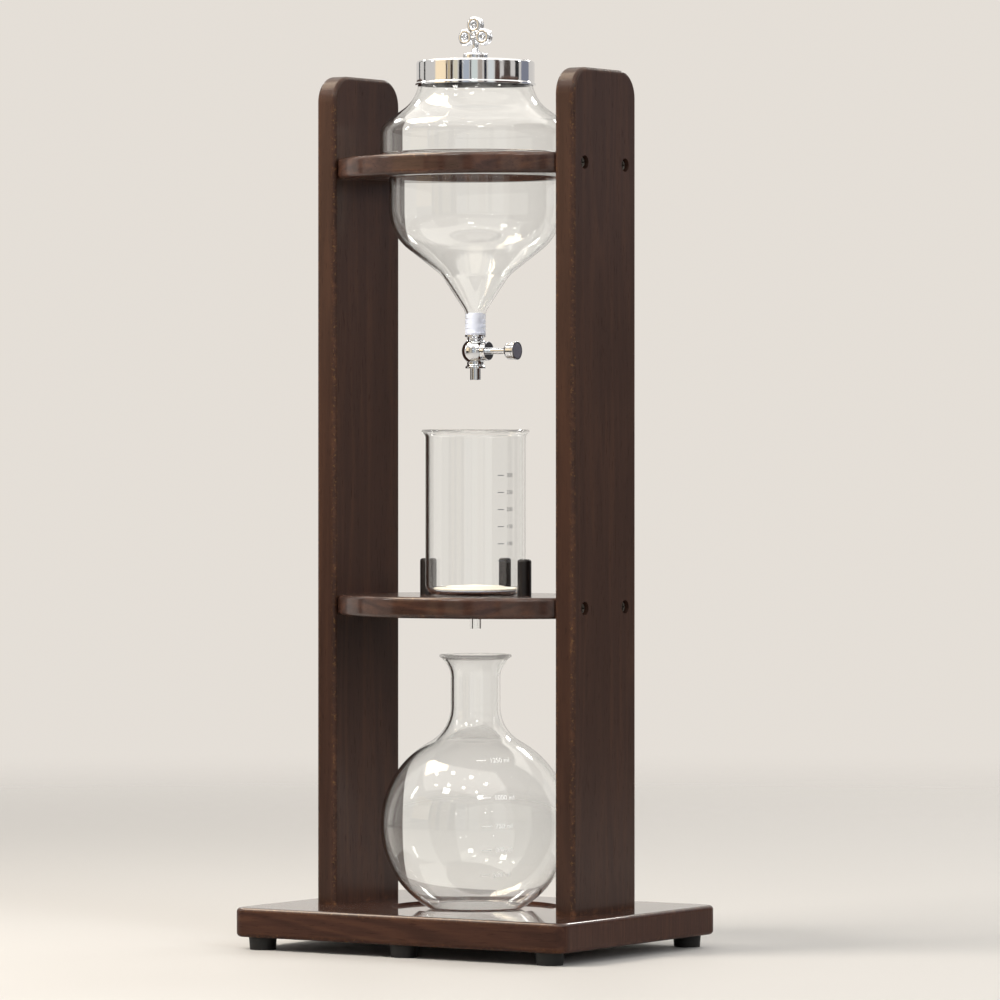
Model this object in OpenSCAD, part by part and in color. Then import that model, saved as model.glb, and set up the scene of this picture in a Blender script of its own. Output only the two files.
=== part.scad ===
// Cold drip coffee tower: a wooden frame holds a glass water tank with a needle valve, a
// coffee chamber under it, and a flask on the base board.
// Millimetres. The origin is the middle of the footprint, on the surface that the feet stand
// on. X runs from upright to upright, -Y is the open front and Z is up.

/* [Base] */
// How far the base board reaches past each upright
base_overhang = 30; // [15:1:45]
// Depth of the base board, front to back
base_depth = 210; // [190:2:260]
// Thickness of the base board
base_thickness = 21; // [16:0.5:32]
// Rounding of the base board's upright corners
base_corner = 9; // [5:0.5:20]
// Rounding of every board's long edges
edge_radius = 3; // [1:0.5:5]
// Radius of the recess that the flask stands in
recess_radius = 60; // [42:1:72]
// Depth of the recess
recess_depth = 2; // [1:0.5:5]

/* [Frame] */
// Clear width between the uprights
frame_gap = 186; // [170:1:230]
// Thickness of an upright
upright_thickness = 16; // [12:0.5:24]
// Depth of an upright, front to back
upright_depth = 84; // [70:1:110]
// How far the uprights rise above the tank shelf
upright_rise = 59.5; // [30:0.5:90]
// Rounding of an upright's top corners
upright_corner = 19; // [8:1:30]
// Thickness of both shelves
shelf_thickness = 15; // [12:0.5:20]
// Depth of a shelf at its middle, front to back
shelf_mid_depth = 156; // [144:1:180]
// Flat margin that an upright keeps in front of and behind a shelf's end
shelf_margin = 1; // [0.5:0.5:8]
// Bevel round the tank hole, on which the tank's shoulder sits
seat_bevel = 4; // [2:0.5:6]

/* [Feet] */
// Height of a foot
foot_height = 9; // [6:0.5:20]
// Radius of a foot at the board
foot_top_radius = 10; // [8:0.5:13]
// Radius of a foot at the floor
foot_floor_radius = 9.3; // [7:0.1:13]
// Distance from a foot's middle to the base board's left or right end
foot_end_inset = 18; // [13:0.5:26]
// Distance from a foot's middle to the base board's front or back edge
foot_side_inset = 13; // [13:0.5:24]

/* [Screws] */
// Radius of a wood screw's shank
screw_radius = 2; // [1.5:0.1:2.5]
// Radius of a wood screw's head
screw_head_radius = 4.2; // [3:0.1:5]
// Height of a wood screw's head
screw_head_height = 2.6; // [2:0.1:3.5]
// Radius of the counterbore over a screw head
counterbore_radius = 4.8; // [4.4:0.1:6]
// Depth of the counterbores
counterbore_depth = 5; // [3.5:0.5:8]
// Grip of a frame screw in the second board
screw_grip = 30; // [15:1:40]
// Distance between the two screws of a joint
screw_spacing = 54; // [30:1:60]

/* [Posts] */
// Radius of a retaining post
post_radius = 5; // [3:0.5:7]
// Height of a retaining post above its shelf
post_height = 26; // [12:1:40]
// Clearance between a post and the chamber
post_clearance = 0.6; // [0.4:0.1:2]
// Length of the peg under a post
peg_length = 9; // [5:0.5:11]

/* [Glass] */
// Wall of the tank, the chamber and the flask
glass_wall = 2; // [1.5:0.1:2.8]
// Gap in which a lifted-off piece rests over its seat
seat_gap = 0.3; // [0.2:0.05:0.5]

/* [Water tank] */
// Radius of the tank's neck
neck_radius = 40.6; // [30:0.2:48]
// Straight height of the neck above the shoulder's corner
neck_height = 22.3; // [18:0.1:36]
// Radius of the bulge above the shelf
bulge_radius = 68.4; // [65:0.2:74]
// Height of the bulge
bulge_height = 20.3; // [14:0.1:40]
// How far the bulge stands out past the body that hangs through the shelf
bulge_overhang = 6.3; // [5:0.1:10]
// Clearance between the tank's body and its hole
tank_clearance = 1; // [0.5:0.1:2]
// Height of the body from the shelf seat to the funnel
tank_body_height = 50.2; // [40:0.2:90]
// Radius at which the funnel steepens into its throat
throat_radius = 23; // [14:0.5:34]
// Outer radius of the outlet tube
outlet_radius = 7.4; // [6.6:0.1:9]
// Length of the outlet tube
outlet_length = 15; // [12:0.5:25]

/* [Lid] */
// Outer radius of the lid cap
cap_radius = 42.4; // [42.2:0.1:52]
// Height of the lid cap
cap_height = 17.5; // [12:0.5:21]
// Sheet thickness of the lid cap
cap_wall = 1; // [0.6:0.1:1.4]
// Thickness of the lid gasket
gasket_thickness = 1.5; // [1:0.1:3]
// Radius of the collar under the ornament
collar_radius = 9.1; // [6:0.1:14]
// Height of the collar
collar_height = 5.9; // [3:0.1:9]
// Outer radius of a leaf of the trefoil
leaf_radius = 5.8; // [5:0.1:7]
// Radius of the eye in a leaf
eye_radius = 2.1; // [1:0.1:3]
// Thickness of the trefoil
leaf_thickness = 6.4; // [4:0.1:9]
// Sideways distance of the two lower leaves from the middle
leaf_spread = 7.9; // [6:0.1:9]

/* [Valve] */
// Radius of the valve's belly
belly_radius = 10; // [8.5:0.1:13]
// Height of the valve body above the stem's axis
valve_above_stem = 11.6; // [11:0.1:15]
// Height of the valve body and its nut below the stem's axis
valve_below_stem = 12.5; // [12:0.1:16]
// Radius of the flared rim at each end
flare_radius = 7.7; // [7:0.1:9]
// Radius of the gland nut
gland_radius = 7; // [6.4:0.1:8]
// Radius of the stem
stem_radius = 2.5; // [2:0.1:3]
// Distance from the valve's axis to the back of the knob
knob_reach = 27.3; // [18:0.1:34]
// Radius of the knob
knob_radius = 6.8; // [5:0.1:9]
// Length of the knob
knob_length = 8.3; // [6:0.1:14]
// Radius of the drip bore
drip_bore = 1; // [0.6:0.1:1.4]
// Outer radius of the nozzle
nozzle_radius = 3.9; // [2.5:0.1:4.2]
// Length of the nozzle below the valve
nozzle_length = 8.2; // [5:0.1:20]
// Height from the chamber's rim to the nozzle's tip
drip_height = 35; // [34:1:80]

/* [Coffee chamber] */
// Outer radius of the chamber
chamber_radius = 35.9; // [30:0.1:44]
// Outer radius of its beaded rim
chamber_rim_radius = 39; // [32:0.1:49]
// Height of the chamber without its tube
chamber_height = 118.4; // [80:0.2:150]
// Outer radius of the drip tube
drip_tube_radius = 4; // [3.4:0.1:6]
// How far the drip tube reaches below its shelf
drip_tube_drop = 9; // [4:0.5:14]
// Thickness of the filter disc
filter_thickness = 4; // [2:0.2:8]
// Clearance between the filter disc and the chamber's wall
filter_clearance = 3.9; // [3:0.1:8]

/* [Flask] */
// Radius of the flask's round body
flask_radius = 68; // [58:0.5:74]
// Radius of the flask's flat bottom
flask_base_radius = 32.6; // [24:0.2:36]
// Radius of the flask's neck
flask_neck_radius = 17.8; // [14:0.2:24]
// Length of the neck between the corners of shoulder and rim
flask_neck_length = 46.4; // [38:0.2:70]
// How far the rim flares out from the neck
flask_flare = 7.6; // [5:0.2:9]
// Free height between the flask and the chamber shelf
flask_headroom = 29.3; // [28:0.1:60]

/* [Hidden] */
$fn = 96;
// largest distance between a rounded outline and its true curve, and its largest turn at a point
chord_error = 0.12;
arc_step = 15;
// overshoot of a cut past the face that it opens
over = 1;
// radial clearance of a screw, peg, nut or stem in its bore
fit = 0.05;

// Slopes of the vessels, in degrees from the horizontal
shoulder_slope = 36;
funnel_slope = 38.3;
throat_slope = 58;
seat_slope = 45;
// the flask's body meets its neck and its flat bottom at this turn from the horizontal radius
belly_turn = 60;
flare_turn = 54.7;

// Roundings of the vessels' outlines
neck_fillet = 28;
bulge_fillet = 13;
seat_fillet = 3.5;
funnel_fillet = 38;
throat_fillet = 14;
outlet_fillet = 6;
flask_neck_fillet = 28;
flask_rim_fillet = 17.5;
flask_base_fillet = 7;
chamber_floor_fillet = 7;
chamber_lip_drop = 4.6;

// Frame
base_top = foot_height + base_thickness;
tank_radius = bulge_radius - bulge_overhang;
upright_inner = frame_gap / 2;
upright_outer = upright_inner + upright_thickness;
base_length = 2 * (upright_outer + base_overhang);
shelf_end_depth = upright_depth - 2 * (edge_radius + shelf_margin);
shelf_sagitta = (shelf_mid_depth - shelf_end_depth) / 2;
shelf_arc = (pow(upright_inner, 2) + pow(shelf_sagitta, 2)) / (2 * shelf_sagitta);
tank_hole = tank_radius + tank_clearance;

// Flask, from its seat upwards
flask_seat = base_top - recess_depth + seat_gap;
flask_middle = flask_seat + (flask_radius - flask_base_radius * cos(belly_turn)) / sin(belly_turn);
flask_belly_reach = flask_radius * tan(belly_turn / 2);
flask_shoulder = flask_middle
    + (flask_radius - flask_neck_radius * cos(belly_turn)) / sin(belly_turn);
flask_rim_corner = flask_shoulder + flask_neck_length;
flask_top = flask_rim_corner + flask_flare / tan(flare_turn);

// Chamber and its shelf
chamber_shelf_z = flask_top + flask_headroom;
chamber_shelf_top = chamber_shelf_z + shelf_thickness;
chamber_floor = chamber_shelf_top + seat_gap;
chamber_top = chamber_floor + chamber_height;
drip_tube_end = chamber_shelf_z - drip_tube_drop;
post_ring = chamber_radius + post_clearance + post_radius;
peg_radius = post_radius / 2;
filter_radius = chamber_radius - glass_wall - filter_clearance;
filter_gasket_thickness = 1;
filter_seat = chamber_floor + glass_wall + seat_gap;

// Valve
nozzle_tip = chamber_top + drip_height;
nozzle_top = nozzle_tip + nozzle_length;
stem_z = nozzle_top + valve_below_stem;
valve_top = stem_z + valve_above_stem;
flare_height = 1.4;
waist_radius = flare_radius - 1.5;
boss_radius = gland_radius - 2;
gland_back = sqrt(pow(belly_radius, 2) - pow(gland_radius, 2));
gland_wall = 1.2;
gland_length = 4.4;
gland_front = gland_back + gland_length;
boss_end = gland_front - gland_wall - 0.4;
packing_length = 2.4;
packing_radius = boss_radius - 1;
spigot_radius = 3.2;
spigot_bore = 1.8;
nut_height = 4.6;
nut_wall = 1.4;
nozzle_flange = 1;
nut_pocket = waist_radius - 1;
collar_of_nozzle = nut_pocket - 0.4;
needle_radius = stem_radius - 0.4;
needle_end = drip_bore + 0.5;
stem_socket = 4.5;
knob_recess = 0.5;

// Bush and tank, from the outlet's end upwards
bush_flange = 1.5;
bush_length = outlet_length - 0.6;
outlet_bore = outlet_radius - glass_wall;
outlet_end = valve_top + bush_flange;
outlet_corner = outlet_end + outlet_length;
throat_corner = outlet_corner + (throat_radius - outlet_radius) * tan(throat_slope);
funnel_corner = throat_corner + (tank_radius - throat_radius) * tan(funnel_slope);
seat_corner = funnel_corner + tank_body_height;
bulge_low = seat_corner + (bulge_radius - tank_radius) * tan(seat_slope);
bulge_high = bulge_low + bulge_height;
neck_corner = bulge_high + (bulge_radius - neck_radius) * tan(shoulder_slope);
tank_top = neck_corner + neck_height;
tank_lip = glass_wall * 0.62;

// Tank shelf: its bevel lies seat_gap below the tank's sloping seat
tank_shelf_top = seat_corner + seat_bevel + tank_clearance - seat_gap * sqrt(2);
tank_shelf_z = tank_shelf_top - shelf_thickness;
upright_height = tank_shelf_top + upright_rise - base_top;

// Lid
gasket_z = tank_top + tank_lip + seat_gap;
cap_top = gasket_z + gasket_thickness + cap_wall;
cap_bottom = cap_top - cap_height;
cap_lip = 0.8;
collar_top = cap_top + collar_height;
stud_radius = 2;
lid_nut_height = 3.2;
leaf_low = collar_top + 11.4;
leaf_high = leaf_low + 9;

// Foot screws
foot_seat = foot_height * 0.45;
foot_screw_grip = 12;
foot_hole = screw_head_radius + 0.4;

// ---------------------------------------------------------------- outlines with round corners

function direction(a, b) = (b - a) / norm(b - a);
function spot(corner) = [corner[0], corner[1]];
function inward(d) = [d[1], -d[0]];

// Points of the arc that rounds corner p, between its neighbours a and b
function corner_arc(a, p, b, radius) =
    let (u = direction(p, a), v = direction(p, b))
    let (half = acos(max(-1, min(1, u * v))) / 2)
    let (turn = 180 - 2 * half, side = cross(u, v) > 0 ? -1 : 1)
    let (middle = p + direction([0, 0], u + v) * radius / sin(half))
    let (first = p + u * radius / tan(half) - middle)
    let (step = min(arc_step, 2 * acos(max(0, 1 - chord_error / radius))))
    let (start = atan2(first[1], first[0]), steps = max(2, ceil(turn / step)))
    [for (k = [0 : steps]) let (a = start + side * turn * k / steps)
        middle + radius * [cos(a), sin(a)]];

// An outline of [radius, height, rounding] corners, as points
function rounded(corners) =
    let (last = len(corners) - 1)
    [
        spot(corners[0]),
        for (i = [1 : last - 1]) each
            corners[i][2] > 0
                ? corner_arc(spot(corners[i - 1]), spot(corners[i]), spot(corners[i + 1]), corners[i][2])
                : [spot(corners[i])],
        spot(corners[last])
    ];

// The same outline moved inwards by a wall, with its roundings kept concentric
function inset(corners, wall) =
    let (last = len(corners) - 1)
    [for (i = [0 : last])
        let (here = spot(corners[i]))
        let (from = i > 0 ? direction(spot(corners[i - 1]), here) : direction(here, spot(corners[1])))
        let (to = i < last ? direction(here, spot(corners[i + 1])) : from)
        let (n = inward(from), m = inward(to))
        let (moved = here + (n + m) * wall / (1 + n * m))
        let (bend = cross(from, to) > 0 ? 1 : -1)
        [moved[0], moved[1], corners[i][2] > 0 ? max(0.3, corners[i][2] + bend * wall) : 0]];

function spaced(points) =
    [for (i = [0 : len(points) - 1]) if (i == 0 || norm(points[i] - points[i - 1]) > 0.01) points[i]];
function reversed(points) = [for (i = [len(points) - 1 : -1 : 0]) points[i]];

// Points of the bead that closes a wall's open rim, from its inner to its outer side
function bead(inner, outer, below, radius) =
    let (across = direction(outer, inner), up = direction(below, outer), steps = 8)
    [for (k = [0 : steps]) let (a = 180 * k / steps)
        (inner + outer) / 2 + radius * (cos(a) * across + sin(a) * up)];

// A blown glass vessel, with a fire-polished bead on its rim
module glass_vessel(corners, lip) {
    outer = spaced(rounded(corners));
    inner = spaced(rounded(inset(corners, glass_wall)));
    color([0.86, 0.93, 0.92, 0.4]) rotate_extrude()
        polygon(concat(outer, reversed(inner), bead(inner[0], outer[0], outer[1], lip)));
}

// ---------------------------------------------------------------- boards

// Section through a board's rounded edge, from x = 0 to x = reach
module edge_section(reach, thickness, radius) {
    square([reach - radius, thickness]);
    translate([0, radius]) square([reach, thickness - 2 * radius]);
    for (y = [radius, thickness - radius]) translate([reach - radius, y]) circle(r = radius);
}

module rounded_disc(radius, thickness, edge) {
    rotate_extrude() edge_section(radius, thickness, edge);
}

// Board along X and Y with rounded edges and corners. Its -X end may be sawn off square.
module rounded_board(length, width, thickness, corner, square_end) {
    near = square_end ? -length / 2 : corner - length / 2;
    far = length / 2 - corner;
    side = width / 2 - corner;
    ends = square_end ? [0] : [0, 1];
    translate([near, -side, 0]) cube([far - near, 2 * side, thickness]);
    for (flip = [0, 1]) mirror([0, flip, 0]) translate([near, side, 0]) rotate([90, 0, 90])
        linear_extrude(far - near) edge_section(corner, thickness, edge_radius);
    for (end = ends) mirror([end, 0, 0]) translate([far, side, 0]) rotate([90, 0, 0])
        linear_extrude(2 * side) edge_section(corner, thickness, edge_radius);
    for (end = ends, flip = [0, 1]) mirror([end, 0, 0]) mirror([0, flip, 0])
        translate([far, side, 0])
            rotate_extrude(angle = 90) edge_section(corner, thickness, edge_radius);
}

// ---------------------------------------------------------------- screws

// Wood screw along -Z, its head's underside at z = 0
module wood_screw(length) {
    difference() {
        union() {
            cylinder(r1 = screw_head_radius, r2 = screw_head_radius - 0.8, h = screw_head_height);
            translate([0, 0, 0.6 * screw_radius - length])
                cylinder(r = screw_radius, h = length - 0.6 * screw_radius);
            translate([0, 0, -length])
                cylinder(r1 = 0.4 * screw_radius, r2 = screw_radius, h = 0.6 * screw_radius);
        }
        for (turn = [0, 90]) rotate(turn)
            translate([-0.6 * screw_head_radius, -0.5, screw_head_height - 1.6])
                cube([1.2 * screw_head_radius, 1, 1.6 + over]);
    }
}

// Stepped hole for that screw: counterbore above z = 0, shank hole below it
module screw_hole(length, above) {
    cylinder(r = counterbore_radius, h = above);
    translate([0, 0, -length - 2 * fit]) cylinder(r = screw_radius + fit, h = length + 3 * fit);
}

frame_screw_length = upright_thickness - counterbore_depth + screw_grip;
base_screw_length = base_thickness - counterbore_depth + screw_grip;

// Places of the two screws of a joint, front and back
module at_screw_pair() {
    for (y = [-1, 1]) translate([0, y * screw_spacing / 2, 0]) children();
}

// Places of the four screws that hold one upright to both shelves, on the +X side
module at_shelf_screws() {
    for (z = [chamber_shelf_z, tank_shelf_z])
        translate([upright_outer - counterbore_depth, 0, z + shelf_thickness / 2])
            at_screw_pair() rotate([0, 90, 0]) children();
}

// Places of the four screws that hold both uprights to the base board
module at_base_screws() {
    for (side = [-1, 1])
        translate([side * (upright_inner + upright_thickness / 2), 0, foot_height + counterbore_depth])
            at_screw_pair() rotate([180, 0, 0]) children();
}

foot_x = base_length / 2 - foot_end_inset;
foot_y = base_depth / 2 - foot_side_inset;

module at_foot(column, row) {
    translate([column * foot_x, row * foot_y, 0]) children();
}

// ---------------------------------------------------------------- frame

walnut = "#4a352c";

module base_board() {
    color("#54382c") difference() {
        translate([0, 0, foot_height])
            rounded_board(base_length, base_depth, base_thickness, base_corner, false);
        translate([0, 0, base_top - recess_depth])
            cylinder(r = recess_radius, h = recess_depth + over);
        at_base_screws() screw_hole(base_screw_length, counterbore_depth + over);
        for (column = [-1, 0, 1], row = [-1, 1]) at_foot(column, row)
            translate([0, 0, foot_height - over])
                cylinder(r = screw_radius + fit, h = foot_screw_grip + 2 * over);
    }
}

// The upright on the +X side
module upright_panel() {
    color(walnut) difference() {
        translate([upright_inner, 0, base_top + upright_height / 2])
            mirror([1, 0, 0]) rotate([0, -90, 0]) rounded_board(
                upright_height, upright_depth, upright_thickness, upright_corner, true);
        at_shelf_screws() screw_hole(frame_screw_length, counterbore_depth + over);
        at_base_screws() screw_hole(base_screw_length, over);
    }
}

module left_upright() {
    mirror([1, 0, 0]) upright_panel();
}

module right_upright() {
    upright_panel();
}

// Shelf between the uprights: two arcs of the same radius bound it, front and back
module shelf_board(z) {
    offset_y = shelf_arc - shelf_mid_depth / 2;
    difference() {
        translate([0, 0, z]) intersection() {
            translate([0, offset_y, 0]) rounded_disc(shelf_arc, shelf_thickness, edge_radius);
            translate([0, -offset_y, 0]) rounded_disc(shelf_arc, shelf_thickness, edge_radius);
            translate([-upright_inner, -shelf_mid_depth / 2, 0])
                cube([frame_gap, shelf_mid_depth, shelf_thickness]);
        }
        for (flip = [0, 1]) mirror([flip, 0, 0])
            at_shelf_screws() screw_hole(frame_screw_length, counterbore_depth);
    }
}

module tank_shelf() {
    color(walnut) difference() {
        shelf_board(tank_shelf_z);
        translate([0, 0, tank_shelf_z - over]) cylinder(r = tank_hole, h = shelf_thickness + 2 * over);
        translate([0, 0, tank_shelf_top - seat_bevel])
            cylinder(r1 = tank_hole, r2 = tank_hole + seat_bevel + over, h = seat_bevel + over);
    }
}

module at_post(angle) {
    rotate(angle) translate([post_ring, 0, chamber_shelf_top]) children();
}

module chamber_shelf() {
    color(walnut) difference() {
        shelf_board(chamber_shelf_z);
        translate([0, 0, chamber_shelf_z - over])
            cylinder(r = drip_tube_radius + 1.6, h = shelf_thickness + 2 * over);
        for (angle = [0, 90, 180]) at_post(angle) translate([0, 0, -peg_length - 2 * fit])
            cylinder(r = peg_radius + fit, h = peg_length + over);
    }
}

module foot(column, row) {
    color("#191817") at_foot(column, row) difference() {
        cylinder(r1 = foot_floor_radius, r2 = foot_top_radius, h = foot_height);
        translate([0, 0, -over]) cylinder(r = foot_hole, h = foot_seat + over);
        translate([0, 0, -over]) cylinder(r = screw_radius + fit, h = foot_height + 2 * over);
    }
}

module foot_screws() {
    for (column = [-1, 0, 1], row = [-1, 1]) color("#b9bbbd") at_foot(column, row)
        translate([0, 0, foot_seat]) rotate([180, 0, 0])
            wood_screw(foot_height - foot_seat + foot_screw_grip);
}

module base_screws() {
    color("#6d6a66") at_base_screws() wood_screw(base_screw_length);
}

module left_shelf_screws() {
    color("#6d6a66") mirror([1, 0, 0]) at_shelf_screws() wood_screw(frame_screw_length);
}

module right_shelf_screws() {
    color("#6d6a66") at_shelf_screws() wood_screw(frame_screw_length);
}

// Retaining post with a domed edge, on its peg
module post(angle) {
    dome = 0.4 * post_radius;
    color("#1b1a1a") at_post(angle) {
        rotate_extrude() {
            square([post_radius, post_height - dome]);
            square([post_radius - dome, post_height]);
            translate([post_radius - dome, post_height - dome]) circle(r = dome);
        }
        translate([0, 0, -peg_length]) cylinder(r = peg_radius, h = peg_length);
    }
}

// ---------------------------------------------------------------- water tank and valve

module water_tank() {
    glass_vessel([
        [neck_radius, tank_top, 0],
        [neck_radius, neck_corner, neck_fillet],
        [bulge_radius, bulge_high, bulge_fillet],
        [bulge_radius, bulge_low, seat_fillet],
        [tank_radius, seat_corner, seat_fillet],
        [tank_radius, funnel_corner, funnel_fillet],
        [throat_radius, throat_corner, throat_fillet],
        [outlet_radius, outlet_corner, outlet_fillet],
        [outlet_radius, outlet_end, 0]
    ], tank_lip);
}

module outlet_bush() {
    color("#eef0f2") difference() {
        union() {
            translate([0, 0, valve_top]) cylinder(r = outlet_radius, h = bush_flange);
            translate([0, 0, outlet_end]) cylinder(r = outlet_bore - fit, h = bush_length);
        }
        translate([0, 0, valve_top - over])
            cylinder(r = spigot_radius + fit, h = bush_flange + bush_length + 2 * over);
    }
}

chrome = "#c9ccd0";

// Half of the body's turned outline, from the stem's axis out to a flared end
module flared_end(height) {
    rotate_extrude() polygon(spaced(rounded([
        [0, 0, 0],
        [waist_radius - 0.4, 0, 0],
        [waist_radius - 0.4, height - 2.6, 2],
        [flare_radius, height - flare_height, 0.4],
        [flare_radius, height, 0.4],
        [0, height, 0]
    ])));
}

module valve_body() {
    nut_top = nozzle_top + nut_height;
    seat_of_nozzle = nozzle_top + nut_wall + nozzle_flange + fit;
    color(chrome) difference() {
        union() {
            difference() {
                translate([0, 0, stem_z]) sphere(r = belly_radius);
                translate([gland_back, -belly_radius, stem_z - belly_radius])
                    cube([belly_radius, 2 * belly_radius, 2 * belly_radius]);
                translate([-belly_radius, -belly_radius, stem_z - 2 * belly_radius])
                    cube([2 * belly_radius, 2 * belly_radius, 2 * belly_radius - stem_z + nut_top]);
            }
            translate([0, 0, stem_z]) flared_end(valve_above_stem);
            translate([0, 0, seat_of_nozzle])
                cylinder(r = nut_pocket - fit, h = stem_z - seat_of_nozzle);
            translate([0, 0, valve_top]) cylinder(r = spigot_radius, h = bush_length);
            translate([0, 0, stem_z]) rotate([0, 90, 0]) cylinder(r = boss_radius, h = boss_end);
        }
        translate([0, 0, seat_of_nozzle - over])
            cylinder(r = drip_bore, h = valve_top + bush_length - seat_of_nozzle + 2 * over);
        translate([0, 0, stem_z + needle_radius + 2])
            cylinder(r = spigot_bore, h = valve_above_stem + bush_length);
        translate([-needle_end - fit, 0, stem_z]) rotate([0, 90, 0])
            cylinder(r = needle_radius + fit, h = boss_end + needle_end + over);
        translate([needle_end + 1, 0, stem_z]) rotate([0, 90, 0])
            cylinder(r = stem_radius + fit, h = boss_end);
        translate([boss_end - packing_length, 0, stem_z]) rotate([0, 90, 0])
            cylinder(r = packing_radius, h = packing_length + over);
    }
}

module packing_ring() {
    color("#f2f2ee") translate([boss_end - packing_length, 0, stem_z]) rotate([0, 90, 0])
        difference() {
            cylinder(r = packing_radius - fit, h = packing_length);
            translate([0, 0, -over]) cylinder(r = stem_radius + fit, h = packing_length + 2 * over);
        }
}

// Ring nut on the side of the valve, grooved for the fingers
module gland_nut() {
    grooves = 18;
    groove_radius = 0.5;
    color(chrome) translate([gland_back, 0, stem_z]) rotate([0, 90, 0]) difference() {
        rotate_extrude() polygon(spaced(rounded([
            [0, 0, 0],
            [gland_radius, 0, 0.5],
            [gland_radius, gland_length, 0.8],
            [0, gland_length, 0]
        ])));
        translate([0, 0, -over]) cylinder(r = boss_radius + fit, h = gland_length - gland_wall + over);
        translate([0, 0, -over]) cylinder(r = stem_radius + fit, h = gland_length + 2 * over);
        for (k = [1 : grooves]) rotate(k * 360 / grooves)
            translate([gland_radius + 0.2, 0, gland_length / 2 - 0.9])
                cylinder(r = groove_radius, h = 1.8, $fn = 24);
    }
}

// Stem with its needle end across the drip bore
module needle_stem() {
    body_start = needle_end + 1 + fit;
    color(chrome) translate([0, 0, stem_z]) rotate([0, 90, 0]) {
        translate([0, 0, -needle_end + 1]) cylinder(r = needle_radius, h = body_start + needle_end);
        translate([0, 0, -needle_end])
            cylinder(r1 = needle_radius - 0.8, r2 = needle_radius, h = 1);
        translate([0, 0, body_start])
            cylinder(r = stem_radius, h = knob_reach + stem_socket - body_start - fit);
    }
}

module valve_knob() {
    color(chrome) translate([knob_reach, 0, stem_z]) rotate([0, 90, 0]) difference() {
        rotate_extrude() polygon(spaced(rounded([
            [0, 0, 0],
            [knob_radius - 1.4, 0, 0.5],
            [knob_radius - 0.3, 1.8, 1],
            [knob_radius - 0.3, knob_length - 2.2, 0.4],
            [knob_radius, knob_length - 1.8, 0.3],
            [knob_radius, knob_length, 0.6],
            [knob_radius - 1.2, knob_length, 0],
            [knob_radius - 1.2, knob_length - knob_recess, 0],
            [0, knob_length - knob_recess, 0]
        ])));
        translate([0, 0, -over]) cylinder(r = stem_radius + fit, h = stem_socket + over);
    }
}

// Union nut that clamps the nozzle's flange against the body
module nozzle_nut() {
    color(chrome) translate([0, 0, nozzle_top]) difference() {
        rotate_extrude() polygon(spaced(rounded([
            [0, 0, 0],
            [flare_radius - 0.3, 0, 0.4],
            [flare_radius - 0.3, flare_height, 0.4],
            [waist_radius, flare_height + 1.4, 1.2],
            [waist_radius, nut_height, 0],
            [0, nut_height, 0]
        ])));
        translate([0, 0, -over]) cylinder(r = nozzle_radius + fit, h = nut_height + 2 * over);
        translate([0, 0, nut_wall]) cylinder(r = nut_pocket, h = nut_height);
    }
}

module outlet_nozzle() {
    color(chrome) translate([0, 0, nozzle_tip]) difference() {
        union() {
            rotate_extrude() polygon(spaced(rounded([
                [0, 0, 0],
                [nozzle_radius, 0, 0.4],
                [nozzle_radius, nozzle_length + nut_wall, 0],
                [0, nozzle_length + nut_wall, 0]
            ])));
            translate([0, 0, nozzle_length + nut_wall])
                cylinder(r = collar_of_nozzle, h = nozzle_flange);
        }
        translate([0, 0, -over])
            cylinder(r = spigot_bore, h = nozzle_length + nut_wall + nozzle_flange + 2 * over);
    }
}

// ---------------------------------------------------------------- lid

module lid_cap() {
    outline = [
        [cap_radius + cap_lip, cap_bottom, 0],
        [cap_radius + cap_lip, cap_bottom + 1.2, 0.3],
        [cap_radius, cap_bottom + 2, 0.5],
        [cap_radius, cap_top, 2],
        [0, cap_top, 0]
    ];
    hollow = [
        [0, cap_top - cap_wall, 0],
        [cap_radius - cap_wall, cap_top - cap_wall, 1],
        [cap_radius - cap_wall, cap_bottom, 0]
    ];
    color(chrome) difference() {
        rotate_extrude() polygon(spaced(concat(rounded(outline), rounded(hollow))));
        translate([0, 0, cap_top - cap_wall - over])
            cylinder(r = stud_radius + fit, h = cap_wall + 2 * over);
    }
}

module lid_gasket() {
    color("#e9e9e6") translate([0, 0, gasket_z]) difference() {
        cylinder(r = cap_radius - cap_wall - 1, h = gasket_thickness);
        translate([0, 0, -over])
            cylinder(r = neck_radius - glass_wall - 1.5, h = gasket_thickness + 2 * over);
    }
}

module lid_collar() {
    color(chrome) translate([0, 0, cap_top]) difference() {
        rotate_extrude() polygon(spaced(rounded([
            [0, 0, 0],
            [collar_radius, 0, 0.4],
            [collar_radius, collar_height, 2],
            [0, collar_height, 0]
        ])));
        translate([0, 0, -over]) cylinder(r = stud_radius + fit, h = collar_height + 2 * over);
    }
}

// Leaf of the trefoil, standing in the XZ plane round its own eye
module leaf(x, z) {
    translate([x, leaf_thickness / 2, z]) rotate([90, 0, 0]) difference() {
        rounded_disc(leaf_radius, leaf_thickness, 1.5);
        translate([0, 0, -over]) cylinder(r = eye_radius, h = leaf_thickness + 2 * over);
    }
}

module lid_ornament() {
    color(chrome) {
        for (side = [-1, 1]) leaf(side * leaf_spread, leaf_low);
        leaf(0, leaf_high);
        translate([0, 0, (2 * leaf_low + leaf_high) / 3]) sphere(r = 0.62 * leaf_thickness);
        translate([0, 0, collar_top]) rotate_extrude() polygon(spaced(rounded([
            [0, 0, 0],
            [3.6, 0, 0],
            [1.8, 3.6, 3],
            [1.8, 5, 3],
            [4, leaf_low - collar_top - 1, 0],
            [0, leaf_low - collar_top - 1, 0]
        ])));
        translate([0, 0, cap_top - cap_wall - lid_nut_height - 1])
            cylinder(r = stud_radius, h = collar_height + cap_wall + lid_nut_height + 1.5);
    }
}

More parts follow.
